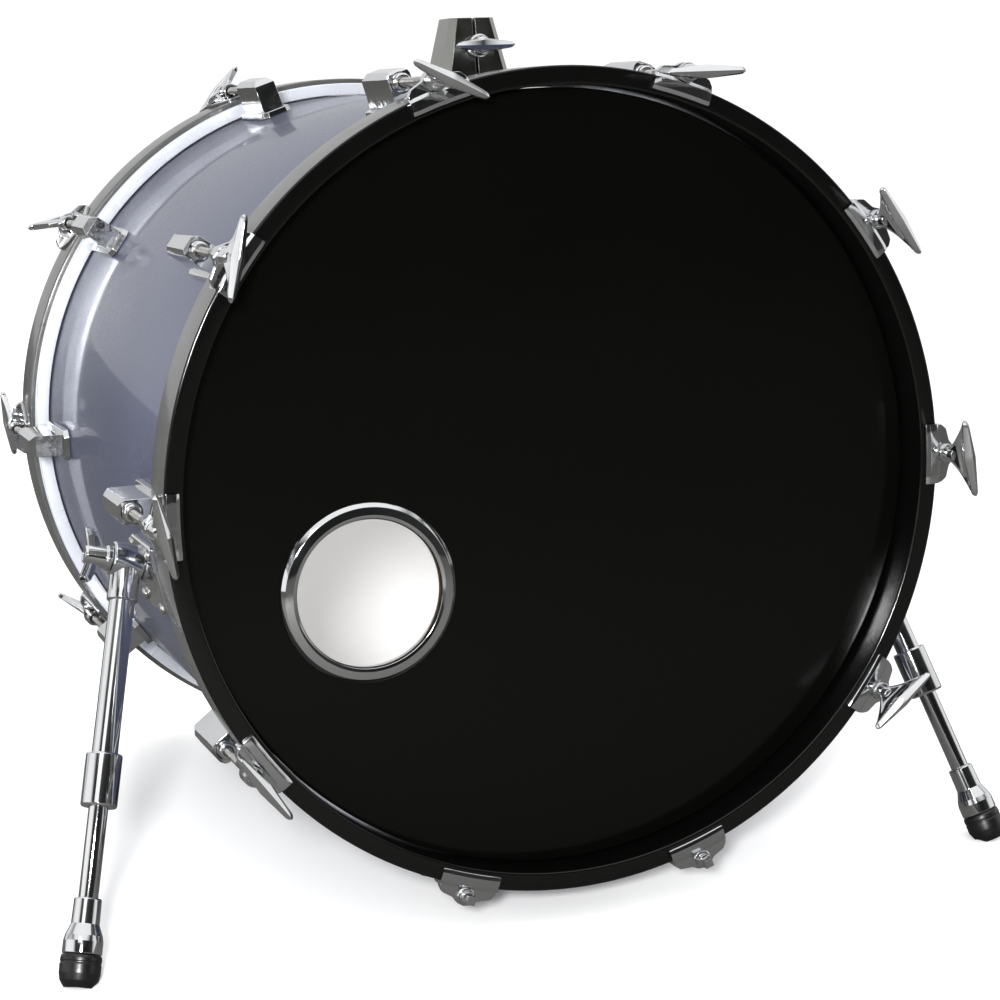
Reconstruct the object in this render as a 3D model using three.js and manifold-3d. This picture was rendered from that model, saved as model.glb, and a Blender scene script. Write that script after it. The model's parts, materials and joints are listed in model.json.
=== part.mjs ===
// Bass drum, 22 in x 20 in: shell, two hoops with claw hooks, two heads, twenty lugs, twenty tension rods, two folding spurs and a tom-holder receiver.
// Millimetres. Built in drum axes first: origin at the middle of the front hoop's front plane, +X to the right seen from the front, +Y into the drum along its axis, +Z up.
// The assembly then stands the drum on its spur feet and the bottom of its rear hoop, with the floor at Z = 0.
import * as THREE from 'three';
import { ConvexGeometry } from 'three/addons/geometries/ConvexGeometry.js';
import { mergeVertices } from 'three/addons/utils/BufferGeometryUtils.js';
import Module from 'manifold-3d';

const wasm = await Module();
wasm.setup();

// ---------- driving dimensions ----------
const SEG = 60;               // facets round the drum, so every 18 degree station falls on a facet corner
const DEPTH = 564;            // over both hoops
const HOOP_R = 295;           // hoop outer radius
const HOOP_IN = 281.5;        // hoop inner radius
const HOOP_D = 40;            // hoop depth along the axis
const HOOP_EDGE = 1.6;        // chamfer on the hoop's edges
const SHELL_R = 279.4;        // 22 in shell
const SHELL_IN = 272.4;       // 7 mm plies
const OVERHANG = 28;          // hoop front plane to bearing edge
const FILM = 1.0;             // head film
const GAP = 0.3;              // running gap between pieces
const FLESH_R = 288;          // flesh hoop outer radius
const FLESH_W = 11;           // flesh hoop depth
const STATIONS = 10;          // tension stations per side
const FIRST = 18;             // degrees from the top to the first station
const ROD_R = 302;            // radius of the tension rods' axes
const ROD_SHANK = 3.2;
const CLAW_HALF = 22.5;       // half width of a claw
const CLAW_T = 3.2;           // claw plate in front of the hoop
const LUG_TOP = 311;          // radius of a lug's outer face
const LUG_HALF = 9;
const LUG_Y0 = 72, LUG_Y1 = 134;
const BAR_HALF = 29;          // half length of a T handle's bar
const BAR_Y = 36;             // bar centre in front of the hoop plane
const PORT = { x: -147, z: -65, hole: 52.7, outer: 64.5, film: 55.5 };
const MOUNT = { y: 190, top: 334, bore: 11.3 };
const EYE = 11.6;              // half thickness of the leg's pivot eye
const SPUR = { ux: 292, uy: 150, uz: -49, lx: 0.244, ly: -0.37, lz: -0.896 };
const FLOOR = { y0: 45, z0: -322, y1: DEPTH - HOOP_EDGE, z1: -HOOP_R };   // two points of the floor plane in drum axes
// angle of each T handle's bar from the tangent, by station, front then rear
const TURN_FRONT = [18, 177, 9, -15, 0, 0, 0, -169, -156, -44];
const TURN_REAR = [24, -38, 64, 12, 0, 0, 19, 7, -45, 31];

const RAD = Math.PI / 180;

// ---------- helpers ----------
// keeps only positions, shares vertices, drops slivers with no area and turns the faces outward
function tidy(geometry) {
  let g = geometry.index ? geometry.toNonIndexed() : geometry.clone();
  for (const name of Object.keys(g.attributes)) if (name !== 'position') g.deleteAttribute(name);
  g = mergeVertices(g, 1e-4);
  const idx = Array.from(g.index.array), p = g.attributes.position, kept = [];
  let volume = 0;
  const a = new THREE.Vector3(), b = new THREE.Vector3(), c = new THREE.Vector3();
  for (let i = 0; i < idx.length; i += 3) {
    const [u, v, w] = [idx[i], idx[i + 1], idx[i + 2]];
    if (u === v || v === w || w === u) continue;
    kept.push(u, v, w);
    a.fromBufferAttribute(p, u); b.fromBufferAttribute(p, v); c.fromBufferAttribute(p, w);
    volume += a.dot(b.cross(c));
  }
  if (volume < 0) for (let i = 0; i < kept.length; i += 3) [kept[i + 1], kept[i + 2]] = [kept[i + 2], kept[i + 1]];
  g.setIndex(kept);
  return g;
}
const toSolid = (g) => new wasm.Manifold(new wasm.Mesh({ numProp: 3, vertProperties: new Float32Array(g.attributes.position.array), triVerts: new Uint32Array(g.index.array) }));
function fromSolid(solid) {
  const m = solid.getMesh(), g = new THREE.BufferGeometry();
  const pos = new Float32Array(m.numVert * 3);
  for (let i = 0; i < m.numVert; i++) for (let k = 0; k < 3; k++) pos[3 * i + k] = m.vertProperties[i * m.numProp + k];
  g.setAttribute('position', new THREE.BufferAttribute(pos, 3));
  g.setIndex(Array.from(m.triVerts));
  return g;
}
const join = (list) => fromSolid(list.map(toSolid).reduce((a, b) => a.add(b)));
const cut = (a, ...tools) => fromSolid(tools.map(toSolid).reduce((m, t) => m.subtract(t), toSolid(a)));
const common = (a, b) => fromSolid(toSolid(a).intersect(toSolid(b)));
const moved = (g, x, y, z) => g.clone().translate(x, y, z);
// cylinder or cone along +Z from z0 to z1, along +Y from y0 to y1, or along +X from x0 to x1
const zc = (r0, r1, z0, z1, n) => tidy(new THREE.CylinderGeometry(r1, r0, z1 - z0, n).rotateX(Math.PI / 2).translate(0, 0, (z0 + z1) / 2));
const yc = (x, z, r0, r1, y0, y1, n) => tidy(new THREE.CylinderGeometry(r1, r0, y1 - y0, n).translate(x, (y0 + y1) / 2, z));
const xc = (y, z, r0, r1, x0, x1, n) => tidy(new THREE.CylinderGeometry(r1, r0, x1 - x0, n).rotateZ(-Math.PI / 2).translate((x0 + x1) / 2, y, z));
const box = (x0, x1, y0, y1, z0, z1) => tidy(new THREE.BoxGeometry(x1 - x0, y1 - y0, z1 - z0).translate((x0 + x1) / 2, (y0 + y1) / 2, (z0 + z1) / 2));
const hull = (pts) => tidy(new ConvexGeometry(pts.map((p) => new THREE.Vector3(...p))));
// a solid of revolution about the drum axis from a closed loop of [radius, y] points; a loop that starts and ends on the axis stays open there
function ring(pts, n = SEG) {
  const loop = pts[0][0] === 0 ? pts : [...pts, pts[0]];
  return tidy(new THREE.LatheGeometry(loop.map(([r, y]) => new THREE.Vector2(r, y)), n));
}
const unit = (v) => { const l = Math.hypot(...v); return v.map((c) => c / l); };
const cross = (a, b) => [a[1] * b[2] - a[2] * b[1], a[2] * b[0] - a[0] * b[2], a[0] * b[1] - a[1] * b[0]];
const mirrorX = (g) => tidy(g.clone().scale(-1, 1, 1));

// ---------- shell ----------
function shell() {
  const y0 = OVERHANG, y1 = DEPTH - OVERHANG;
  const edge = [[SHELL_IN, y0 + 5.2], [SHELL_R - 2.4, y0], [SHELL_R - 1.2, y0], [SHELL_R, y0 + 1.4]];
  const back = edge.map(([r, y]) => [r, DEPTH - y]).reverse();
  return cut(ring([...edge, ...back]), moved(zc(13, 13, SHELL_IN - 30, SHELL_IN + 30, 28), 0, MOUNT.y, 0));
}

// ---------- head: film, collar and flesh hoop, crimped into one piece ----------
function head(port) {
  const f0 = OVERHANG - GAP - FILM, f1 = OVERHANG - GAP;
  const y0 = HOOP_D + GAP, y1 = y0 + FLESH_W;
  const skin = SHELL_R + GAP + 0.1;
  const pts = [[0, f0], [SHELL_R - 1.6, f0], [skin + FILM, f0 + 3], [skin + FILM, y0], [FLESH_R, y0], [FLESH_R, y1], [skin, y1], [skin, f1 + 1.2], [SHELL_R - 0.9, f1], [0, f1]];
  const m = ring(pts);
  return port ? cut(m, yc(PORT.x, PORT.z, PORT.film, PORT.film, 0, 60, 48)) : m;
}

// ---------- port ring: front flange, sleeve through the film, rear lip ----------
function portRing() {
  const f0 = OVERHANG - GAP - FILM, f1 = OVERHANG - GAP;
  const pts = [[PORT.hole, f0 - 3.2], [PORT.hole + 1.8, f0 - 4.6], [PORT.outer - 3, f0 - 3.4], [PORT.outer, f0 - GAP], [PORT.film - GAP, f0 - GAP], [PORT.film - GAP, f1 + GAP], [PORT.outer - 5, f1 + GAP], [PORT.outer - 5, f1 + 2.4], [PORT.hole, f1 + 2.4]];
  return moved(ring(pts, 48), PORT.x, 0, PORT.z);
}

// ---------- hoop with its claws hooked over it ----------
function claw() {
  const e = 0.5;
  const lip0 = 284.5;
  const plate = (pts, y0, y1) => hull(pts.flatMap(([u, r]) => [[u, y0, r], [u, y1, r]]));
  const T = CLAW_T;
  const w = CLAW_HALF;
  // lip on the hoop's front face
  const lip = hull([[-w, -T, 296.5], [w, -T, 296.5], [-w, -T, lip0 + 0.8], [w, -T, lip0 + 0.8], [-w, e, lip0], [w, e, lip0], [-w, e, 296.5], [w, e, 296.5]]);
  // saddle over the hoop's outer edge, running back and narrowing
  const saddle = hull([[-w, -T + 1, 293], [w, -T + 1, 293], [-w, -T + 1, 298], [w, -T + 1, 298], [-w, 12, 292], [w, 12, 292], [-w + 1, 11, 298], [w - 1, 11, 298], [-12, 27, 292], [12, 27, 292], [-11, 26, 296.6], [11, 26, 296.6]]);
  // ear that carries the rod
  const ear = plate([[-w + 0.3, 294], [-w + 0.6, 298], [-17, 303], [-4, 308.6], [4, 308.6], [17, 303], [w - 0.6, 298], [w - 0.3, 294]], -T, 2.5);
  const boss = yc(0, ROD_R, 6.6, 6.6, -T + 0.5, 8, 8);
  return cut(join([lip, saddle, ear, boss]), yc(0, ROD_R, 4.4, 4.4, -20, 60, 8));
}
function hoop() {
  const c = HOOP_EDGE;
  const m = ring([[HOOP_IN, 0], [HOOP_R - c, 0], [HOOP_R, c], [HOOP_R, HOOP_D - c], [HOOP_R - c, HOOP_D], [HOOP_IN, HOOP_D]]);
  const hook = claw();
  const claws = [];
  for (let k = 0; k < STATIONS; k++) claws.push(hook.clone().rotateY((FIRST + 36 * k) * RAD));
  return join([m, ...claws]);
}

// ---------- lug: base flange, tall chamfered body, nut face with a blind socket for the rod ----------
function lug() {
  const y0 = LUG_Y0, y1 = LUG_Y1, h = LUG_HALF, top = LUG_TOP;
  const out = [[-9, 64], [9, 64], [13, 69], [13, 138], [8, 144], [-8, 144], [-13, 138], [-13, 69]];
  const flange = hull(out.flatMap(([u, y]) => [[u, y, 278], [u * 0.96, y + (y < 100 ? 0.8 : -0.8), 285.6]]));
  const bodyPts = [];
  for (const [u, y] of [[-h, y0], [h, y0], [-h, y1], [h, y1]]) bodyPts.push([u, y, 284], [u, y + (y === y0 ? 0 : -2), 306.5]);
  for (const [u, y] of [[-h + 4, y0 + 3], [h - 4, y0 + 3], [-h + 4, y1 - 8], [h - 4, y1 - 8]]) bodyPts.push([u, y, top]);
  for (const [u, y] of [[-h + 1.2, y0], [h - 1.2, y0]]) bodyPts.push([u, y, 309]);
  const body = hull(bodyPts);
  const nut = yc(0, ROD_R, 6.4, 7, y0 - 6.5, y0 + 1, 8);
  return cut(join([flange, body, nut]), seatCut(), yc(0, ROD_R, 3.6, 3.6, y0 - 10, 112, 8));
}

// ---------- tension rods ----------
const SEAT = -CLAW_T - GAP;      // front of the claw
function tRod(turn) {
  const shank = yc(0, 0, ROD_SHANK, ROD_SHANK, SEAT - 6, 104, 8);
  const washer = yc(0, 0, 7, 7, SEAT - 1.6, SEAT, 10);
  const hub = yc(0, 0, 5.2, 6.2, SEAT - 10, SEAT - 1, 8);
  const pts = [];
  for (let i = 0; i < 8; i++) pts.push([5.2 * Math.cos(i * 45 * RAD), SEAT - 8, 5.2 * Math.sin(i * 45 * RAD)]);
  for (const s of [-1, 1]) for (const q of [-1, 1]) pts.push([s * 22, -BAR_Y + 4.5, q * 3.2], [s * 24, -BAR_Y + 2, q * 2.6]);
  const fan = cut(hull(pts), ...[-1, 1].map((q) => hull([[0, SEAT - 12, q * 4.2], [-13, -BAR_Y + 5, q * 2.8], [13, -BAR_Y + 5, q * 2.8], [0, SEAT - 12, q * 12], [-14, -BAR_Y + 5, q * 12], [14, -BAR_Y + 5, q * 12]])));
  const b = BAR_HALF, Y = -BAR_Y;
  const bar = hull([[-b, Y + 2.5, -1.6], [-b, Y + 2.5, 1.6], [-b, Y - 1.5, -1.2], [-b, Y - 1.5, 1.2], [b, Y + 2.5, -1.6], [b, Y + 2.5, 1.6], [b, Y - 1.5, -1.2], [b, Y - 1.5, 1.2], [-b + 2.5, Y + 3, -3], [-b + 2.5, Y + 3, 3], [b - 2.5, Y + 3, -3], [b - 2.5, Y + 3, 3], [0, Y + 3.5, -5.8], [0, Y + 3.5, 5.8], [-b + 4, Y - 3, 0], [b - 4, Y - 3, 0], [0, Y, 6], [0, Y, -6], [0, Y - 4, 0]]);
  return join([shank, washer, hub, fan, bar]).rotateY(-turn * RAD).translate(0, 0, ROD_R);
}
function keyRod() {
  const shank = yc(0, 0, ROD_SHANK, ROD_SHANK, SEAT - 3, 104, 8);
  const washer = yc(0, 0, 5.6, 6.2, SEAT - 2.4, SEAT, 10);
  const square = common(box(-3.3, 3.3, SEAT - 10, SEAT - 1, -3.3, 3.3), yc(0, 0, 4.3, 4.3, SEAT - 12, 0, 8));
  return join([shank, washer, square]).translate(0, 0, ROD_R);
}

// ---------- spur: right side in drum axes, the left is its mirror image ----------
const U = [SPUR.ux, SPUR.uy, SPUR.uz];                     // where the leg's axis meets its pivot axis
const L = unit([SPUR.lx, SPUR.ly, SPUR.lz]);               // down the leg
const A = unit(cross(L, [0, 1, 0]));                       // pivot axis, pointing out: square to the leg and to the drum axis, so the leg folds back parallel to the shell
const C = unit(cross(A, L));
// leg axes: z down the leg, y out along the pivot axis, x = y cross z
const LEG = new THREE.Matrix4().makeBasis(new THREE.Vector3(...C), new THREE.Vector3(...A), new THREE.Vector3(...L)).setPosition(...U);
const onLeg = (g) => g.clone().applyMatrix4(LEG);

function spurTube() {
  const eye = yc(0, 0, 13, 13, -EYE, EYE, 18);
  const sleeve = zc(11.2, 11.2, 6, 30, 16);
  const tube = zc(9.3, 9.3, 20, 150, 16);
  const collar = join([zc(12.2, 13, 142, 143.2, 16), zc(13, 13, 143.2, 178.8, 16), zc(13, 12.2, 178.8, 180, 16)]);
  const boss = xc(0, 164, 3.2, 3.2, 11.6, 14.6, 10);
  return onLeg(cut(join([eye, sleeve, tube, collar, boss]), zc(7.4, 7.4, 32, 200, 16), yc(0, 0, 4.6, 4.6, -20, 20, 14)));
}
function spurRod() {
  const rod = zc(7, 7, 96, 250, 16);
  const ferrule = join([zc(9.6, 10, 244, 262, 16), zc(10, 13.6, 262, 272, 16), zc(13.6, 14, 272, 283, 16)]);
  const pin = zc(4, 4, 282, 292, 12);
  const screw = xc(0, 277, 2, 2, 12, 15.4, 8);
  return onLeg(join([rod, ferrule, pin, screw]));
}
function spurFoot() {
  const m = cut(join([zc(13.8, 14.6, 283 + GAP, 287, 16), zc(14.6, 14.4, 287, 297, 16), zc(14.4, 10, 297, 306, 16)]), zc(4.3, 4.3, 270, 293, 12));
  return cut(onLeg(m), underFloor());
}
function underFloor() {
  const s = (FLOOR.z1 - FLOOR.z0) / (FLOOR.y1 - FLOOR.y0);
  const z = (y) => FLOOR.z0 + (y - FLOOR.y0) * s;
  return hull([[-900, -300, z(-300)], [900, -300, z(-300)], [-900, 900, z(900)], [900, 900, z(900)], [-900, -300, -900], [900, -300, -900], [-900, 900, -900], [900, 900, -900]]);
}
function spurBracket() {
  const deg = 102 * RAD;
  const onShell = (u, y, r) => [r * Math.sin(deg) + u * Math.cos(deg), y, r * Math.cos(deg) - u * Math.sin(deg)];
  const out = [[-24, 118], [24, 118], [30, 126], [30, 176], [22, 190], [-18, 190], [-24, 180]];
  const plate = hull(out.flatMap(([u, y]) => [onShell(u, y, 278), onShell(u * 0.96, y < 150 ? y + 1 : y - 1, 284.4)]));
  // wedge from the plate up to the pivot face
  const top = [];
  for (let i = 0; i < 16; i++) {
    const v = new THREE.Vector3(14 * Math.cos(i * 22.5 * RAD), -EYE - GAP, 14 * Math.sin(i * 22.5 * RAD)).applyMatrix4(LEG);
    top.push([v.x, v.y, v.z]);
  }
  const foot = [[-16, 124], [20, 124], [25, 132], [25, 172], [18, 182], [-12, 182], [-17, 172]].map(([u, y]) => onShell(u, y, 281));
  const stud = onLeg(yc(0, 0, 4, 4, -14, 29, 14));
  const clear = onLeg(box(-200, 200, -EYE - GAP, 60, -200, 400));     // the leg swings over this plane
  return cut(join([cut(join([plate, hull([...top, ...foot])]), clear), stud]), seatCut());
}
// the shell's outside with the running gap, for cutting what sits on it
const seatCut = () => ring([[SHELL_R - 20, -10], [SHELL_R + GAP, -10], [SHELL_R + GAP, 400], [SHELL_R - 20, 400]]);
function spurWing() {
  const h = EYE + GAP;
  const hub = join([yc(0, 0, 9.4, 9.4, h, h + 4, 16), yc(0, 0, 8, 6.6, h + 4, h + 20, 16)]);
  const w = 20.5, y0 = h + 14, y1 = h + 22;
  const wing = hull([[-6, h + 8, -3.2], [-6, h + 8, 3.2], [6, h + 8, -3.2], [6, h + 8, 3.2], [-w, y0, -2], [-w, y0, 2], [w, y0, -2], [w, y0, 2], [-w + 1, y1, -1.8], [-w + 1, y1, 1.8], [w - 1, y1, -1.8], [w - 1, y1, 1.8], [-8, y1 - 1.5, -3.4], [-8, y1 - 1.5, 3.4], [8, y1 - 1.5, -3.4], [8, y1 - 1.5, 3.4]]);
  // blind bore for the stud; the wings stand close to upright when the leg is out
  return onLeg(cut(join([hub, wing]), yc(0, 0, 4.4, 4.4, 0, 30.5, 14)).rotateY(Math.PI / 2));
}

// ---------- tom-holder receiver ----------
function mountBase() {
  const out = [[-30, 160], [-24, 154], [24, 154], [30, 160], [30, 220], [24, 226], [-24, 226], [-30, 220]];
  const m = hull(out.flatMap(([u, y]) => [[u, y, 275], [u * 0.97, MOUNT.y + (y - MOUNT.y) * 0.97, 286]]));
  return cut(m, seatCut(), moved(zc(13, 13, 260, 320, 28), 0, MOUNT.y, 0));
}
function mountTower() {
  const z0 = 286 + GAP, z1 = MOUNT.top, y = MOUNT.y;
  const pts = [];
  const level = (hx, hy, z, c) => { for (const s of [-1, 1]) for (const q of [-1, 1]) pts.push([s * hx, y + q * (hy - c), z], [s * (hx - c), y + q * hy, z]); };
  level(27, 23, z0, 5); level(27, 23, z0 + 3, 5); level(18.5, 17.5, z1 - 1.5, 4); level(17, 16, z1, 4);
  const bore = moved(zc(MOUNT.bore, MOUNT.bore, 270, 370, 36), 0, y, 0);
  const slit = box(-1, 1, y - 40, y - 4, z0 + 6, z1 + 5);
  return cut(hull(pts), bore, yc(0, 313, 4.2, 4.2, y - 50, y - 6, 14), slit);
}
function mountWing() {
  const y = MOUNT.y - 22;     // just in front of the tower's face at the bolt's height
  const shank = yc(0, 0, 3.8, 3.8, -6, 9.6, 12);
  const hub = join([yc(0, 0, 8.6, 8, -8, -0.6, 16), yc(0, 0, 6, 8, -16, -8, 16)]);
  const bar = hull([[-23, -17, -2], [-23, -17, 2], [23, -17, -2], [23, -17, 2], [-23, -23, -2], [-23, -23, 2], [23, -23, -2], [23, -23, 2], [-7, -11, -4], [7, -11, -4], [-7, -11, 4], [7, -11, 4], [0, -24, -5], [0, -24, 5], [0, -16, -6], [0, -16, 6]]);
  return moved(join([shank, hub, bar]), 0, y, 313);
}

// ---------- assembly ----------
const COLOURS = {
  shell: [0x8487a0, 0.15, 0.28], black: [0x0b0b0c, 0.0, 0.12], film: [0x111112, 0.0, 0.2], coated: [0xe9e8e2, 0.0, 0.6],
  chrome: [0xc9ccd0, 1.0, 0.12], dark: [0x5c5f63, 1.0, 0.15], rubber: [0x141414, 0.0, 0.7],
};
function piece(parent, name, geometry, colour, angle = 0) {
  const [c, metal, rough] = COLOURS[colour];
  const g = geometry.clone();
  g.computeVertexNormals();
  const m = new THREE.Mesh(g, new THREE.MeshStandardMaterial({ color: c, metalness: metal, roughness: rough, flatShading: true }));
  m.name = name;
  m.rotation.y = angle * RAD;
  parent.add(m);
}
const two = (n) => String(n).padStart(2, '0');

// The drum stands on its feet and the bottom of its rear hoop, so its front is raised a little.
const drum = new THREE.Group();
const SLOPE = Math.atan2(FLOOR.z1 - FLOOR.z0, FLOOR.y1 - FLOOR.y0);
drum.rotation.x = -SLOPE;
drum.position.set(0, -284.4477, FLOOR.y1 * Math.sin(SLOPE) - FLOOR.z1 * Math.cos(SLOPE));
// The rear end is the front end turned half round.
const rear = new THREE.Group();
rear.rotation.z = Math.PI;
rear.position.y = DEPTH;
drum.add(rear);

piece(drum, 'shell', shell(), 'shell');
const hoopShape = hoop(), lugShape = lug(), keyShape = keyRod();
piece(drum, 'hoop_front', hoopShape, 'black');
piece(rear, 'hoop_rear', hoopShape, 'black');
piece(drum, 'head_front', head(true), 'film');
piece(rear, 'head_rear', head(false), 'coated');
piece(drum, 'port_ring', portRing(), 'chrome');
for (let k = 0; k < STATIONS; k++) {
  const deg = FIRST + 36 * k;
  const low = deg === 162 || deg === 198;      // flat key rods where a handle would touch the floor
  piece(drum, 'lug_front_' + two(k + 1), lugShape, 'chrome', deg);
  piece(rear, 'lug_rear_' + two(k + 1), lugShape, 'chrome', -deg);
  piece(drum, 'tension_rod_front_' + two(k + 1), low ? keyShape : tRod(TURN_FRONT[k]), 'chrome', deg);
  piece(rear, 'tension_rod_rear_' + two(k + 1), low ? keyShape : tRod(-TURN_REAR[k]), 'chrome', -deg);
}
for (const [side, f] of [['right', (g) => g], ['left', mirrorX]]) {
  piece(drum, 'spur_bracket_' + side, f(spurBracket()), 'chrome');
  piece(drum, 'spur_wing_nut_' + side, f(spurWing()), 'chrome');
  piece(drum, 'spur_tube_' + side, f(spurTube()), 'chrome');
  piece(drum, 'spur_rod_' + side, f(spurRod()), 'chrome');
  piece(drum, 'spur_foot_' + side, f(spurFoot()), 'rubber');
}
piece(drum, 'mount_base', mountBase(), 'chrome');
piece(drum, 'mount_tower', mountTower(), 'dark');
piece(drum, 'mount_wing_bolt', mountWing(), 'chrome');

export default drum;
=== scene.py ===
import json
import math
import bpy
import bmesh
from mathutils import Matrix, Vector, noise

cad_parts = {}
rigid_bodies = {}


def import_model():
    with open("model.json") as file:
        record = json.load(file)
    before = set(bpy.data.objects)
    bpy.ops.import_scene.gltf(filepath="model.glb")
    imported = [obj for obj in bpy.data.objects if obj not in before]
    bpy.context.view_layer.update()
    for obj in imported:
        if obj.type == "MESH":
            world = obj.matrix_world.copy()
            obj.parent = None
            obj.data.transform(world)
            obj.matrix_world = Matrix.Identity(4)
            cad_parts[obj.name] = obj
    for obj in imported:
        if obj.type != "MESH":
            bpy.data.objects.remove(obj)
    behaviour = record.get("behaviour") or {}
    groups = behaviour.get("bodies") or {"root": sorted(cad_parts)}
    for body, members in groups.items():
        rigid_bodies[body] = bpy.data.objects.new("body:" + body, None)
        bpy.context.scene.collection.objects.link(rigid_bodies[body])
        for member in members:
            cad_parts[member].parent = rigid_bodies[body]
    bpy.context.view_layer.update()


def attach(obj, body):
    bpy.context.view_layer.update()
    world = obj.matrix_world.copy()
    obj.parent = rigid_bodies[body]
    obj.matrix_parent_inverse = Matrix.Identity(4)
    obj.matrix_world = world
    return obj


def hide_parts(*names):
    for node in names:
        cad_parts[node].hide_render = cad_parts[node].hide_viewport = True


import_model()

# ---------------------------------------------------------------- the drum's own axes, in millimetres
# origin at the middle of the front hoop's face, +X right seen from the front, +Y into the drum, +Z up
DEPTH = 564.0
HOOP_R, HOOP_IN, HOOP_D = 295.0, 281.5, 40.0
SHELL_R, SHELL_IN = 279.4, 272.4
OVERHANG = 28.0
ROD_R = 302.0
BAR_Y = 36.0
SEAT = -3.5
PORT = (-147.0, -65.0)
TURN_FRONT = [18, 177, 9, -15, 0, 0, 0, -169, -156, -44]
TURN_REAR = [24, -38, 64, 12, 0, 0, 19, 7, -45, 31]
RAD = math.pi / 180
SL = math.atan2(-295 + 322, 562.4 - 45)
PLACE = Matrix.Translation((0, -0.2844477, (562.4 * math.sin(SL) + 295 * math.cos(SL)) / 1000)) @ Matrix.Rotation(-SL, 4, "X")
REAR = Matrix.Translation((0, DEPTH / 1000, 0)) @ Matrix.Rotation(math.pi, 4, "Z")
EYE = Matrix.Identity(4)


# ---------------------------------------------------------------- mesh code
def empty():
    return [], []


def join(*parts):
    V, F = [], []
    for v, f in parts:
        n = len(V)
        V += v
        F += [tuple(i + n for i in q) for q in f]
    return V, F


def xform(part, m):
    v, f = part
    out = [tuple(m @ Vector(p)) for p in v]
    if m.determinant() < 0:
        f = [tuple(reversed(q)) for q in f]
    return out, f


def shift(part, x=0.0, y=0.0, z=0.0):
    v, f = part
    return [(p[0] + x, p[1] + y, p[2] + z) for p in v], f


def fillet(pts, r, closed=False, seg=4, keep=()):
    """Rounds the corners of a flat outline with arcs of about radius r."""
    out = []
    n = len(pts)
    for i in range(n):
        if not closed and i in (0, n - 1) or i in keep:
            out.append(pts[i])
            continue
        p = Vector(pts[i])
        a = Vector(pts[(i - 1) % n]) - p
        b = Vector(pts[(i + 1) % n]) - p
        if a.length < 1e-6 or b.length < 1e-6:
            continue
        ang = a.angle(b)
        d = min(r / max(math.tan(ang / 2), 0.05), a.length * 0.48, b.length * 0.48)
        s, e = p + a.normalized() * d, p + b.normalized() * d
        for k in range(seg + 1):
            t = k / seg
            q = s * (1 - t) ** 2 + p * 2 * t * (1 - t) + e * t ** 2
            out.append((q.x, q.y))
    return out


def lathe(profile, n=96, axis="y", closed=True, arc=None):
    """Revolves (radius, along) points. closed joins the last point to the first; otherwise the ends are left open, and
    only a point of radius 0 puts a pole on the axis.
    """
    V, F = [], []
    m = len(profile)
    rings = []
    for r, t in profile:
        if r < 1e-6:
            rings.append([len(V)])
            V.append((0, t, 0))
        else:
            rings.append(list(range(len(V), len(V) + n)))
            for k in range(n):
                a = 2 * math.pi * k / n
                V.append((r * math.sin(a), t, r * math.cos(a)))
    pairs = [(i, i + 1) for i in range(m - 1)] + ([(m - 1, 0)] if closed else [])
    for i, j in pairs:
        A, B = rings[i], rings[j]
        if len(A) == 1 and len(B) == 1:
            continue
        for k in range(n):
            q = (k + 1) % n
            if len(A) == 1:
                F.append((A[0], B[q], B[k]))
            elif len(B) == 1:
                F.append((A[k], A[q], B[0]))
            else:
                F.append((A[k], A[q], B[q], B[k]))
    if axis == "z":
        V = [(x, -z, y) for x, y, z in V]
    elif axis == "x":
        V = [(y, -x, z) for x, y, z in V]
    return V, F


def hull(points, flat=1.5):
    bm = bmesh.new()
    for p in points:
        bm.verts.new(p)
    bmesh.ops.remove_doubles(bm, verts=bm.verts, dist=1e-4)
    r = bmesh.ops.convex_hull(bm, input=bm.verts)
    loose = [v for v in bm.verts if not v.link_faces]
    bmesh.ops.delete(bm, geom=loose, context="VERTS")
    bmesh.ops.dissolve_limit(bm, angle_limit=flat * RAD, verts=bm.verts, edges=bm.edges)
    bm.verts.index_update()
    V = [tuple(v.co) for v in bm.verts]
    F = [tuple(v.index for v in f.verts) for f in bm.faces]
    bm.free()
    return V, F


def box(x0, x1, y0, y1, z0, z1):
    return hull([(x, y, z) for x in (x0, x1) for y in (y0, y1) for z in (z0, z1)])


def prism_y(outline, y0, y1):
    """outline of (x, z) points, extruded along y."""
    n = len(outline)
    V = [(x, y0, z) for x, z in outline] + [(x, y1, z) for x, z in outline]
    F = [tuple(range(n)), tuple(reversed(range(n, 2 * n)))]
    F += [(i, i + n, (i + 1) % n + n, (i + 1) % n) for i in range(n)]
    return V, F


def loft(sections, cap=True):
    """Joins rings of equal count."""
    V, F = [], []
    n = len(sections[0])
    for s in sections:
        V += [tuple(p) for p in s]
    for i in range(len(sections) - 1):
        for k in range(n):
            q = (k + 1) % n
            F.append((i * n + k, i * n + q, (i + 1) * n + q, (i + 1) * n + k))
    if cap:
        F.append(tuple(reversed(range(n))))
        F.append(tuple(range((len(sections) - 1) * n, len(sections) * n)))
    return V, F


def to_mesh(name, part, sharp=32):
    v, f = part
    me = bpy.data.meshes.new(name)
    me.from_pydata([(x / 1000, y / 1000, z / 1000) for x, y, z in v], [], f)
    bm = bmesh.new()
    bm.from_mesh(me)
    bmesh.ops.recalc_face_normals(bm, faces=bm.faces)
    bm.to_mesh(me)
    bm.free()
    me.polygons.foreach_set("use_smooth", [True] * len(me.polygons))
    me.set_sharp_from_angle(angle=sharp * RAD)
    me.update()
    return me


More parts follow.
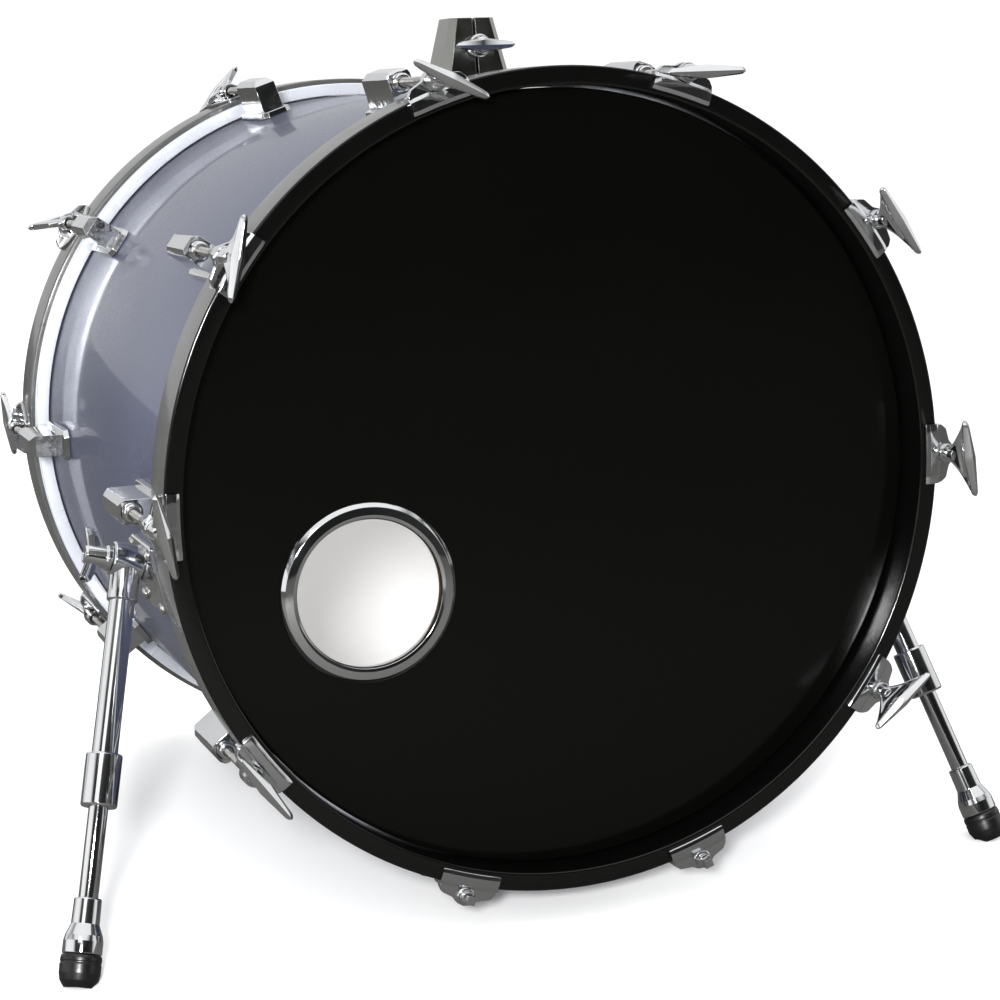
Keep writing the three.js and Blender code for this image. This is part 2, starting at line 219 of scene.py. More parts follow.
def put(name, me, mat, body, M=EYE, bevel=0.0, seg=3, node=None, subsurf=0):
    """A piece in place: mesh in drum axes, turned to its station by M, standing with the drum."""
    o = bpy.data.objects.new(name, me)
    bpy.context.scene.collection.objects.link(o)
    if not me.materials:
        for m in mat if isinstance(mat, (list, tuple)) else [mat]:
            me.materials.append(m)
    if bevel:
        b = o.modifiers.new("edge", "BEVEL")
        b.width = bevel / 1000
        b.segments = seg
        b.limit_method = "ANGLE"
        b.angle_limit = 28 * RAD
        b.harden_normals = True
        b.miter_outer = "MITER_ARC"
    if subsurf:
        s = o.modifiers.new("smooth", "SUBSURF")
        s.levels = s.render_levels = subsurf
    o.matrix_world = PLACE @ M
    bpy.context.view_layer.update()
    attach(o, body)
    if node:
        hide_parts(node)
    return o


def carve(name, part, cutters, sharp=32):
    """part with the cutters taken away, as a new mesh."""
    a = bpy.data.objects.new("carve_a", to_mesh("carve_a", part))
    bpy.context.scene.collection.objects.link(a)
    tools = []
    for i, c in enumerate(cutters):
        t = bpy.data.objects.new("carve_t%d" % i, to_mesh("carve_t%d" % i, c))
        bpy.context.scene.collection.objects.link(t)
        m = a.modifiers.new("cut%d" % i, "BOOLEAN")
        m.operation = "DIFFERENCE"
        m.solver = "EXACT"
        m.object = t
        tools.append(t)
    bpy.context.view_layer.update()
    dg = bpy.context.evaluated_depsgraph_get()
    me = bpy.data.meshes.new_from_object(a.evaluated_get(dg))
    me.name = name
    for o in [a] + tools:
        old = o.data
        bpy.data.objects.remove(o)
        bpy.data.meshes.remove(old)
    bm = bmesh.new()
    bm.from_mesh(me)
    bmesh.ops.dissolve_limit(bm, angle_limit=0.5 * RAD, verts=bm.verts, edges=bm.edges)
    bm.to_mesh(me)
    bm.free()
    me.polygons.foreach_set("use_smooth", [True] * len(me.polygons))
    me.set_sharp_from_angle(angle=sharp * RAD)
    return me


def at(deg, rear=False):
    return REAR @ Matrix.Rotation(-deg * RAD, 4, "Y") if rear else Matrix.Rotation(deg * RAD, 4, "Y")


# ---------------------------------------------------------------- materials
class Mat:
    def __init__(self, name, color, metal=0.0, rough=0.4, **sockets):
        self.m = bpy.data.materials.new(name)
        self.m.use_nodes = True
        self.m.diffuse_color = (*color, 1)
        self.t = self.m.node_tree
        self.b = self.t.nodes["Principled BSDF"]
        self.b.inputs["Base Color"].default_value = (*color, 1)
        self.b.inputs["Metallic"].default_value = metal
        self.b.inputs["Roughness"].default_value = rough
        for k, v in sockets.items():
            self.b.inputs[k.replace("_", " ")].default_value = v
        self.co = None

    def node(self, kind, **props):
        n = self.t.nodes.new(kind)
        for k, v in props.items():
            setattr(n, k, v)
        return n

    def link(self, a, b):
        self.t.links.new(a, b)

    def coords(self, scale=(1, 1, 1), cylinder=False):
        tc = self.node("ShaderNodeTexCoord")
        src = tc.outputs["Object"]
        if cylinder:      # angle round the drum's axis, along it, radius
            sep = self.node("ShaderNodeSeparateXYZ")
            self.link(src, sep.inputs[0])
            at2 = self.node("ShaderNodeMath", operation="ARCTAN2")
            self.link(sep.outputs["X"], at2.inputs[0])
            self.link(sep.outputs["Z"], at2.inputs[1])
            com = self.node("ShaderNodeCombineXYZ")
            self.link(at2.outputs[0], com.inputs["X"])
            self.link(sep.outputs["Y"], com.inputs["Y"])
            src = com.outputs[0]
        mp = self.node("ShaderNodeMapping")
        mp.inputs["Scale"].default_value = scale
        self.link(src, mp.inputs["Vector"])
        return mp.outputs[0]

    def noise(self, scale, detail=2.0, stretch=(1, 1, 1), rough=0.5, cylinder=False):
        n = self.node("ShaderNodeTexNoise")
        n.inputs["Scale"].default_value = scale
        n.inputs["Detail"].default_value = detail
        n.inputs["Roughness"].default_value = rough
        self.link(self.coords(stretch, cylinder), n.inputs["Vector"])
        return n.outputs[0]

    def ramp(self, src, stops, lo=0.0, hi=1.0):
        mr = self.node("ShaderNodeMapRange")
        mr.inputs["From Min"].default_value = lo
        mr.inputs["From Max"].default_value = hi
        self.link(src, mr.inputs["Value"])
        r = self.node("ShaderNodeValToRGB")
        el = r.color_ramp.elements
        while len(el) < len(stops):
            el.new(0.5)
        for e, (p, c) in zip(el, stops):
            e.position = p
            e.color = (*c, 1) if len(c) == 3 else c
        self.link(mr.outputs[0], r.inputs[0])
        return r.outputs[0]

    def span(self, src, lo, hi, f0=0.3, f1=0.7):
        mr = self.node("ShaderNodeMapRange")
        mr.inputs["From Min"].default_value = f0
        mr.inputs["From Max"].default_value = f1
        mr.inputs["To Min"].default_value = lo
        mr.inputs["To Max"].default_value = hi
        self.link(src, mr.inputs["Value"])
        return mr.outputs[0]

    def color(self, src):
        self.link(src, self.b.inputs["Base Color"])

    def rough(self, src):
        self.link(src, self.b.inputs["Roughness"])

    def bump(self, src, dist, strength=1.0):
        n = self.node("ShaderNodeBump")
        n.inputs["Strength"].default_value = strength
        n.inputs["Distance"].default_value = dist
        self.link(src, n.inputs["Height"])
        if self.b.inputs["Normal"].links:
            self.link(self.b.inputs["Normal"].links[0].from_socket, n.inputs["Normal"])
        self.link(n.outputs[0], self.b.inputs["Normal"])


def make_chrome(name, color, rough, cast=0.0):
    m = Mat(name, color, metal=1.0, rough=rough)
    n = m.noise(38.0, 3.0)
    m.rough(m.span(n, rough * 0.75, rough * 1.45))
    c = [tuple(min(1, v * k) for v in color) for k in (0.93, 1.03)]
    m.color(m.ramp(m.noise(16.0, 2.0), [(0.3, c[0]), (0.7, c[1])]))
    if cast:
        m.bump(m.noise(95.0, 2.0), cast)
    return m.m


CHROME = make_chrome("chrome", (0.72, 0.73, 0.745), 0.06)
CAST = make_chrome("chrome_cast", (0.68, 0.69, 0.705), 0.08, cast=0.0002)
DARK = make_chrome("dark_chrome", (0.27, 0.275, 0.255), 0.17, cast=0.0002)
STEEL = make_chrome("plated_steel", (0.56, 0.55, 0.53), 0.24)

m = Mat("black_lacquer", (0.0014, 0.0014, 0.0013), rough=0.12, Specular_IOR_Level=0.4)
m.rough(m.span(m.noise(24.0, 3.0), 0.09, 0.17))
m.bump(m.noise(60.0, 2.0), 0.00012)
LACQUER = m.m

# painted reflection: the hoop is black lacquer, but its outer side and rear face get a lighter grey base colour that
# stands in for the bright room mirrored at grazing angles; the clear coat on top is real gloss
m = Mat("hoop_side_painted_reflection", (0.07, 0.071, 0.071), rough=0.3, Coat_Weight=0.35, Coat_Roughness=0.08)
g = m.noise(26.0, 3.0)
m.color(m.ramp(g, [(0.2, (0.046, 0.047, 0.046)), (0.8, (0.060, 0.061, 0.060))], 0.2, 0.8))
m.rough(m.span(g, 0.24, 0.36))
HOOP_SIDE_PAINTED_REFLECTION = m.m

m = Mat("black_film", (0.0011, 0.0011, 0.0009), rough=0.12, Specular_IOR_Level=0.2)
m.rough(m.span(m.noise(9.0, 4.0), 0.10, 0.17))
m.bump(m.noise(2.6, 1.5), 0.0016)
m.bump(m.noise(420.0, 1.0), 0.000012)
FILM = m.m

m = Mat("coated_film", (0.9, 0.895, 0.88), rough=0.55, Subsurface_Weight=0.6, Subsurface_Scale=0.01, Subsurface_Radius=(1.0, 0.98, 0.94))
m.color(m.ramp(m.noise(7.0, 4.0), [(0.2, (0.93, 0.927, 0.915)), (0.8, (0.96, 0.957, 0.945))]))
m.bump(m.noise(900.0, 3.0), 0.00006)
COATED = m.m

m = Mat("aluminium", (0.62, 0.645, 0.70), metal=0.35, rough=0.3)
g = m.noise(260.0, 4.0, stretch=(0.02, 1, 1), cylinder=True)
m.rough(m.span(g, 0.2, 0.36))
m.bump(g, 0.00004)
ALU = m.m

m = Mat("pearl_wrap", (0.07, 0.08, 0.13), metal=0.1, rough=0.36, Coat_Weight=0.36, Coat_Roughness=0.05)
g = m.noise(120.0, 5.0, stretch=(1.4, 0.9, 1), cylinder=True, rough=0.6)
cloud = m.noise(5.0, 4.0)
mix = m.node("ShaderNodeMix", data_type="FLOAT")
mix.inputs["Factor"].default_value = 0.35
m.link(g, mix.inputs[2])
m.link(cloud, mix.inputs[3])
m.color(m.ramp(mix.outputs[0], [(0.2, (0.038, 0.045, 0.082)), (0.5, (0.053, 0.061, 0.105)), (0.8, (0.076, 0.085, 0.135))], 0.2, 0.8))
m.rough(m.span(g, 0.33, 0.46))
m.bump(g, 0.00003)
WRAP = m.m

m = Mat("maple_ply", (0.52, 0.33, 0.17), rough=0.42, Coat_Weight=0.25, Coat_Roughness=0.2)
g = m.noise(30.0, 6.0, stretch=(0.5, 14, 14), rough=0.6)
m.color(m.ramp(g, [(0.25, (0.36, 0.21, 0.10)), (0.5, (0.52, 0.33, 0.17)), (0.8, (0.62, 0.42, 0.24))]))
m.bump(g, 0.0001)
PLY = m.m

m = Mat("rubber", (0.003, 0.003, 0.003), rough=0.35)
m.rough(m.span(m.noise(60.0, 4.0), 0.26, 0.36))
m.bump(m.noise(350.0, 3.0), 0.00006)
RUBBER = m.m

m = Mat("felt_grey", (0.05, 0.05, 0.05), rough=0.9)
m.bump(m.noise(500.0, 3.0), 0.0002)
FELT = m.m

m = Mat("pale_floor", (0.97, 0.97, 0.97), rough=0.9, Specular_IOR_Level=0.0)
m.color(m.ramp(m.noise(1.5, 2.0), [(0.3, (0.855, 0.855, 0.855)), (0.7, (0.87, 0.87, 0.87))]))
FLOORMAT = m.m


# ---------------------------------------------------------------- shell
def shell_pieces():
    # plies with bearing edges
    e = [(SHELL_IN, OVERHANG + 6.0), (SHELL_R - 3.4, OVERHANG + 0.35), (SHELL_R - 2.2, OVERHANG + 0.05), (SHELL_R - 1.1, OVERHANG + 1.1), (SHELL_R - 0.7, OVERHANG + 3.0), (SHELL_R - 0.7, OVERHANG + 8)]
    e = fillet(e, 0.7, seg=2)
    ring = e + [(r, DEPTH - y) for r, y in reversed(e)]
    hole = shift(lathe([(13, -30), (13, 30)], 48, axis="z", closed=False), 0, 190, 276)
    hv, hf = hole
    n = 48
    hf = hf + [tuple(range(n)), tuple(reversed(range(n, 2 * n)))]
    me = carve("shell_plies", lathe(ring, 240), [(hv, hf)])
    put("shell_plies", me, PLY, "drum", node="shell")
    w = fillet([(SHELL_R - 0.68, 32), (SHELL_R - 0.2, 32), (SHELL_R, 32.4), (SHELL_R, DEPTH - 32.4), (SHELL_R - 0.2, DEPTH - 32), (SHELL_R - 0.68, DEPTH - 32)], 0.1, closed=True, seg=1)
    me = carve("shell_wrap", lathe(w, 240), [(hv, hf)])
    put("shell_wrap", me, WRAP, "drum", node="shell")
    # the wrap's lapped seam, underneath
    seam = []
    for y in (33.0, DEPTH - 33.0):
        for a in (178.0, 182.5):
            for r in (SHELL_R - 0.2, SHELL_R + 0.22 if a < 180 else SHELL_R + 0.05):
                seam.append((r * math.sin(a * RAD), y, r * math.cos(a * RAD)))
    put("wrap_seam", to_mesh("wrap_seam", hull(seam)), WRAP, "drum", bevel=0.08, seg=2)


# ---------------------------------------------------------------- hoops
def hoops():
    c = [(HOOP_IN, 0), (HOOP_R, 0), (HOOP_R, HOOP_D), (HOOP_IN, HOOP_D)]
    me = to_mesh("hoop_wood", lathe(fillet(c, 2.0, closed=True, seg=5), 240), sharp=60)
    me.materials.append(LACQUER)
    me.materials.append(HOOP_SIDE_PAINTED_REFLECTION)
    # the outer side and rear face take the lighter grey painted-reflection material; the front face stays black lacquer
    for p in me.polygons:
        if (math.hypot(p.center.x, p.center.z) > (HOOP_R - 2.4) / 1000 and p.center.y > 0.0012) or p.center.y > (HOOP_D - 2.4) / 1000:
            p.material_index = 1
    put("hoop_wood_front", me, LACQUER, "drum", node="hoop_front")
    put("hoop_wood_rear", me, LACQUER, "drum", M=REAR, node="hoop_rear")


def claw():
    """A cast claw: lip on the hoop's face, ear for the rod, saddle over the edge."""
    # lip: a rounded bar following the hoop
    secs = []
    prof = fillet([(284.4, 0.1), (284.4, -3.0), (287.5, -4.2), (294.0, -3.6), (297.4, -1.6), (297.4, 2.0), (294.0, 0.1)], 1.2, closed=True, seg=3)
    for i in range(13):
        u = -22.5 + 45 * i / 12
        k = 1.0
        if i in (0, 12):
            k = 0.75
        cy = -1.8
        cr = 290.8
        a = u / 295
        row = []
        for r, y in prof:
            rr, yy = cr + (r - cr) * (0.93 if k < 1 else 1), cy + (y - cy) * k
            drop = 295 * (1 - math.cos(a))
            row.append((u if i not in (0, 12) else u * 1.0, yy, rr - drop * 0.9))
        secs.append(row)
    lip = loft(secs)
    # ear: a raised D-shaped plate with a bump over the rod
    out = [(-21.8, 294.2), (-22.0, 297.5), (-18.5, 301.8), (-9.5, 304.2), (-5.2, 307.8), (0, 309.0), (5.2, 307.8), (9.5, 304.2), (18.5, 301.8), (22.0, 297.5), (21.8, 294.2)]
    ear = prism_y(fillet(out, 3.0, closed=True, seg=3), -2.2, 3.0)
    # saddle over the hoop's outer face
    top, bot = [], []
    for j in range(9):
        y = -0.6 + 28.0 * j / 8
        t = max(0.0, (y - 9) / 18.4)
        w = 22.3 - 11.5 * t ** 1.3 if t < 1 else 10.8
        w -= 4.0 * max(0.0, (t - 0.82) / 0.18) ** 2
        th = 3.0 - 1.1 * t
        rt, rb = [], []
        for i in range(13):
            u = w * (2 * i / 12 - 1)
            a = u / 297
            edge = 0.7 if i in (0, 12) else 0.0
            rt.append(((297 + th - 0.4 - edge) * math.sin(a), y, (295.35 + th - edge) * math.cos(a)))
            rb.append((297 * math.sin(a), y, 295.35 * math.cos(a)))
        top.append(rt)
        bot.append(rb)
    secs = [t + list(reversed(b)) for t, b in zip(top, bot)]
    saddle = loft(secs)
    boss = shift(lathe(fillet([(4.3, -2.9), (6.2, -2.9), (7.0, -2.0), (7.0, 9.0), (6.2, 11.5), (4.3, 11.5)], 0.5, closed=True, seg=3), 32), 0, 0, ROD_R)
    rib = [shift(hull([(s * 2.2 + q * 1.3, 2.6, 297) for q in (-1, 1)] + [(s * 2.2 + q * 1.3, 2.6, 303) for q in (-1, 1)] + [(s * 2.2 + q * 1.3, 20, 297) for q in (-1, 1)]), s * 9, 0, 0) for s in (-1, 1)]
    return join(lip, saddle, boss, *rib), ear


def claws():
    a, ear = claw()
    me = to_mesh("claw_casting", a, sharp=38)
    hole = shift(lathe([(4.35, -20), (4.35, 20)], 32, closed=False), 0, 0, ROD_R)
    hv, hf = hole
    hf = hf + [tuple(range(32)), tuple(reversed(range(32, 64)))]
    earm = carve("claw_ear", ear, [(hv, hf)])
    for rear in (False, True):
        end = "rear" if rear else "front"
        for k in range(10):
            M = at(18 + 36 * k, rear)
            put("claw_%s_%02d" % (end, k + 1), me, CAST, "drum", M, node="hoop_" + end)
            put("claw_ear_%s_%02d" % (end, k + 1), earm, CAST, "drum", M, bevel=0.7, seg=3, node="hoop_" + end)


# ---------------------------------------------------------------- heads
def disc_with_hole(R, y, n, hole=None, m=96):
    bm = bmesh.new()
    outer = [bm.verts.new((R * math.sin(2 * math.pi * k / n), y, R * math.cos(2 * math.pi * k / n))) for k in range(n)]
    edges = [bm.edges.new((outer[k], outer[(k + 1) % n])) for k in range(n)]
    if hole:
        hx, hz, hr = hole
        inner = [bm.verts.new((hx + hr * math.sin(2 * math.pi * k / m), y, hz + hr * math.cos(2 * math.pi * k / m))) for k in range(m)]
        edges += [bm.edges.new((inner[k], inner[(k + 1) % m])) for k in range(m)]
    bmesh.ops.triangle_fill(bm, use_beauty=True, edges=edges)
    if not bm.faces:
        bm.faces.new(outer)
    bm.verts.index_update()
    V = [tuple(v.co) for v in bm.verts]
    F = [tuple(v.index for v in f.verts) for f in bm.faces]
    bm.free()
    return V, F


def weld(part, dist=0.01):
    v, f = part
    bm = bmesh.new()
    bv = [bm.verts.new(p) for p in v]
    for q in f:
        try:
            bm.faces.new([bv[i] for i in q])
        except ValueError:
            pass
    bmesh.ops.remove_doubles(bm, verts=bm.verts, dist=dist)
    bm.verts.index_update()
    V = [tuple(w.co) for w in bm.verts]
    F = [tuple(w.index for w in g.verts) for g in bm.faces]
    bm.free()
    return V, F


def heads():
    n = 240
    f0, f1 = OVERHANG - 1.0, OVERHANG - 0.45
    R = SHELL_R - 4.0
    outer = fillet([(R, f0), (SHELL_R + 0.9, f0), (SHELL_R + 0.9, 41.5)], 2.2, seg=6)
    inner = fillet([(SHELL_R + 0.4, 41.5), (SHELL_R + 0.4, f1), (R, f1)], 1.7, seg=6)
    collar = lathe(outer + inner, n, closed=False)
    for end, hole, mat in (("front", (PORT[0], PORT[1], 55.5), FILM), ("rear", None, COATED)):
        parts = [collar, disc_with_hole(R, f0, n, hole), disc_with_hole(R, f1, n, hole)]
        if hole:
            hx, hz, hr = hole
            wall = lathe([(hr, f0), (hr, f1)], 96, closed=False)
            parts.append(shift(wall, hx, 0, hz))
        me = to_mesh("film_" + end, weld(join(*parts)), sharp=40)
        put("film_" + end, me, mat, "drum", M=REAR if end == "rear" else EYE, node="head_" + end)
    fl = fillet([(SHELL_R + 1.2, 40.4), (290.8, 40.4), (290.8, 43.6), (290.0, 44.4), (290.0, 47.8), (290.8, 48.6), (290.8, 52.6), (SHELL_R + 1.2, 52.6)], 0.9, closed=True, seg=3)
    me = to_mesh("flesh_hoop", lathe(fl, 240), sharp=50)
    put("flesh_hoop_front", me, ALU, "drum", node="head_front")
    put("flesh_hoop_rear", me, ALU, "drum", M=REAR, node="head_rear")


def port():
    f0, f1 = OVERHANG - 1.3, OVERHANG - 0.3
    p = fillet([(52.7, f0 - 2.2), (53.6, f0 - 4.0), (56.0, f0 - 4.7), (61.5, f0 - 3.6), (64.4, f0 - 1.2), (64.5, f0 - 0.35), (55.2, f0 - 0.35), (55.2, f1 + 0.35), (59.5, f1 + 0.35), (59.5, f1 + 2.3), (54.2, f1 + 2.3), (52.7, f1 + 1.2)], 0.8, closed=True, seg=4)
    me = to_mesh("port_ring", lathe(p, 128), sharp=50)
    put("port_ring_chrome", me, CHROME, "drum", M=Matrix.Translation((PORT[0] / 1000, 0, PORT[1] / 1000)), node="port_ring")
    g = fillet([(52.75, f0 + 0.1), (53.6, f0 + 0.1), (53.6, f1 + 0.9), (52.75, f1 + 0.9)], 0.2, closed=True, seg=2)


# ---------------------------------------------------------------- lugs
def lugs():
    y0, y1, h, top = 72.0, 134.0, 9.0, 311.0
    out = [(-9, 64), (9, 64), (13, 69), (13, 138), (8, 144), (-8, 144), (-13, 138), (-13, 69)]
    fl = []
    for u, y in out:
        fl.append((u, y, 279.7 - u * u / 560 + 0.05))
        fl.append((u * 0.95, y + (1.0 if y < 100 else -1.0), 284.6))
    flange = hull(fl)
    pts = []
    for u, y in ((-h, y0), (h, y0), (-h, y1), (h, y1)):
        pts += [(u, y, 283), (u, y + (0 if y == y0 else -2), 306.5)]
    for u, y in ((-h + 4, y0 + 3), (h - 4, y0 + 3), (-h + 4, y1 - 8), (h - 4, y1 - 8)):
        pts.append((u, y, top))
    for u, y in ((-h + 1.2, y0), (h - 1.2, y0)):
        pts.append((u, y, 309))
    body = hull(pts)
    # recessed round seat in the nose for the swivel nut
    seat = shift(lathe([(7.4, 60), (7.4, y0 + 2.2), (6.6, y0 + 2.8)], 40, closed=False), 0, 0, 301.5)
    sv, sf = seat
    sf = sf + [tuple(range(40)), tuple(reversed(range(80, 120)))]
    me = carve("lug_body", body, [(sv, sf)])
    fm = to_mesh("lug_flange", flange)
    nut = lathe(fillet([(3.75, y0 - 6.3), (5.4, y0 - 6.3), (6.5, y0 - 5.2), (6.5, y0 - 2.2), (5.6, y0 - 1.6), (5.6, y0 - 0.6), (7.0, y0 + 0.2), (7.0, y0 + 2.6), (3.75, y0 + 2.6)], 0.5, closed=True, seg=3), 32)
    nm = to_mesh("swivel_nut", shift(nut, 0, 0, 301.8), sharp=45)
    # washer and pan-head screws inside the shell
    w = fillet([(0, -1.0), (7.5, -1.0), (7.5, 0.4), (3.8, 0.4), (3.8, 0.5), (3.4, 2.6), (0, 3.0)], 0.4, seg=2)
    sc = xform(lathe([(r, t) for r, t in w], 28, closed=False), Matrix.Rotation(-90 * RAD, 4, "X"))
    screws = join(*[shift(sc, 0, y, SHELL_IN - 0.4) for y in (86, 120)])
    sm = to_mesh("lug_screws", screws, sharp=40)
    for rear in (False, True):
        end = "rear" if rear else "front"
        for k in range(10):
            M = at(18 + 36 * k, rear)
            t = "%s_%02d" % (end, k + 1)
            put("lug_body_" + t, me, CAST, "drum", M, bevel=0.75, seg=3, node="lug_" + t)
            put("lug_flange_" + t, fm, CAST, "drum", M, bevel=0.7, seg=3, node="lug_" + t)
            put("swivel_nut_" + t, nm, CHROME, "drum", M, node="lug_" + t)
            put("lug_screws_" + t, sm, STEEL, "drum", M)


# ---------------------------------------------------------------- tension rods
def shank(y0, y1, thread=40.0):
    """Rod on the y axis with its thread from y=thread on."""
    p = [(0, y0), (3.2, y0), (3.2, thread)]
    y = thread
    while y + 1.3 < y1 - 1.0:
        p += [(2.8, y + 0.45), (3.2, y + 0.85), (3.2, y + 1.15)]
        y += 1.3
    p += [(3.1, y1 - 1.2), (2.2, y1), (0, y1)]
    return lathe(p, 24, closed=False)


def handle():
    """Washer, hub, web and bar of a T handle, axis on y, bar along x."""
    washer = lathe(fillet([(3.3, SEAT - 1.6), (6.6, SEAT - 1.6), (7.0, SEAT - 1.1), (7.0, SEAT - 0.02), (3.3, SEAT - 0.02)], 0.35, closed=True, seg=3), 40)
    hub = lathe(fillet([(0, SEAT - 13.5), (4.4, SEAT - 12.5), (5.6, SEAT - 8), (6.3, SEAT - 1.7), (0, SEAT - 1.7)], 0.9, seg=4), 32, closed=False)
    # web: flares from the hub to the bar, hollowed on both faces
    rows = []
    N, K = 13, 10
    for side in (1, -1):
        grid = []
        for j in range(N):
            t = j / (N - 1)
            y = SEAT - 5.0 + t * (-BAR_Y + 3.6 - SEAT + 5.0)
            w = 5.0 + 19.5 * t ** 1.25
            row = []
            for i in range(2 * K + 1):
                s = i / K - 1
                base = (1 - t) ** 1.5 * 5.0 * math.sqrt(max(0.0, 1 - s * s * 0.82)) + t * 2.9
                hollow = (1 - s * s) ** 1.2 * math.sin(math.pi * min(1, t * 0.98)) * 2.0
                z = max(0.9, base - hollow)
                if abs(s) > 0.999:
                    z = max(1.0, z - 0.6)
                row.append((s * w, y, side * z))
            grid.append(row)
        rows.append(grid)
    secs = [a + list(reversed(b)) for a, b in zip(*rows)]
    web = loft(secs)
    # bar: long rhombus with a ridge down its face and rounded tips
    secs = []
    L = 29.0
    xs = [-1, -0.985, -0.955, -0.90] + [-0.9 + 1.8 * i / 20 for i in range(1, 20)] + [0.90, 0.955, 0.985, 1]
    for q in xs:
        x = q * L
        a = abs(q)
        tip = math.sqrt(max(0.0, 1 - max(0.0, (a - 0.88) / 0.12) ** 2)) if a > 0.88 else 1.0
        tip = max(tip, 0.28)
        hz = (2.5 + 2.4 * (1 - a)) * tip
        f = 2.4 + 1.4 * (1 - a)
        yc = -BAR_Y + 0.4
        sec = [(0, -f * tip), (hz * 0.62, -f * 0.42 * tip), (hz, 0.4 * tip), (hz * 0.86, 2.4 * tip), (hz * 0.4, 3.3 * tip), (-hz * 0.4, 3.3 * tip), (-hz * 0.86, 2.4 * tip), (-hz, 0.4 * tip), (-hz * 0.62, -f * 0.42 * tip)]
        secs.append([(x, yc + y, z) for z, y in sec])
    bar = loft(secs)
    return join(washer), join(hub), web, bar


def rods():
    washer, hub, web, bar = handle()
    sh = to_mesh("rod_shank", shift(shank(SEAT - 6, 104, 34), 0, 0, 0), sharp=45)
    wm = to_mesh("rod_washer", washer, sharp=45)
    hm = to_mesh("handle_hub", join(hub, web), sharp=50)
    bm_ = to_mesh("handle_bar", bar, sharp=26)
    sk = to_mesh("key_shank", shank(SEAT - 3, 104, 34), sharp=45)
    kw = to_mesh("key_washer", lathe(fillet([(3.3, SEAT - 2.4), (5.6, SEAT - 2.4), (6.2, SEAT - 0.02), (3.3, SEAT - 0.02)], 0.4, closed=True, seg=3), 32), sharp=45)
    col = lathe(fillet([(0, SEAT - 3.6), (4.6, SEAT - 3.6), (5.0, SEAT - 2.45), (0, SEAT - 2.45)], 0.4, seg=3), 32, closed=False)
    km = to_mesh("key_head", join(box(-3.2, 3.2, SEAT - 10, SEAT - 3, -3.2, 3.2), col))
    for rear in (False, True):
        end = "rear" if rear else "front"
        for k in range(10):
            deg = 18 + 36 * k
            t = "%s_%02d" % (end, k + 1)
            body, node = "rod_" + t, "tension_rod_" + t
            M = at(deg, rear) @ Matrix.Translation((0, 0, ROD_R / 1000))
            if deg in (162, 198):
                put("rod_shank_" + t, sk, STEEL, body, M, node=node)
                put("key_washer_" + t, kw, CHROME, body, M, node=node)
                put("key_head_" + t, km, CHROME, body, M, bevel=0.5, node=node)
            else:
                turn = -TURN_REAR[k] if rear else TURN_FRONT[k]
                T = M @ Matrix.Rotation(-turn * RAD, 4, "Y")
                put("rod_shank_" + t, sh, STEEL, body, T, node=node)
                put("rod_washer_" + t, wm, CHROME, body, T, node=node)
                put("handle_hub_" + t, hm, CHROME, body, T, node=node)
                put("handle_bar_" + t, bm_, CHROME, body, T, bevel=0.35, seg=2, node=node)


# ---------------------------------------------------------------- spurs
U = Vector((292, 150, -49))
L = Vector((0.244, -0.37, -0.896)).normalized()
A = L.cross(Vector((0, 1, 0))).normalized()
C = A.cross(L)
LEG = Matrix(((C.x, A.x, L.x, U.x), (C.y, A.y, L.y, U.y), (C.z, A.z, L.z, U.z), (0, 0, 0, 1)))
MIRROR = Matrix.Diagonal((-1, 1, 1, 1))


def zlathe(profile, n=40, closed=False):
    """Profile of (radius, z)."""
    v, f = lathe(profile, n, closed=closed)
    return [(x, z, y) for x, y, z in v], [tuple(reversed(q)) for q in f]


def foot_cut(part):
    """Flattens what would go under the floor, in drum axes."""
    v, f = part
    s = (-295 + 322) / (562.4 - 45)
    out = []
    for x, y, z in v:
        lim = -322 + (y - 45) * s
        out.append((x, y, max(z, lim)))
    return out, f


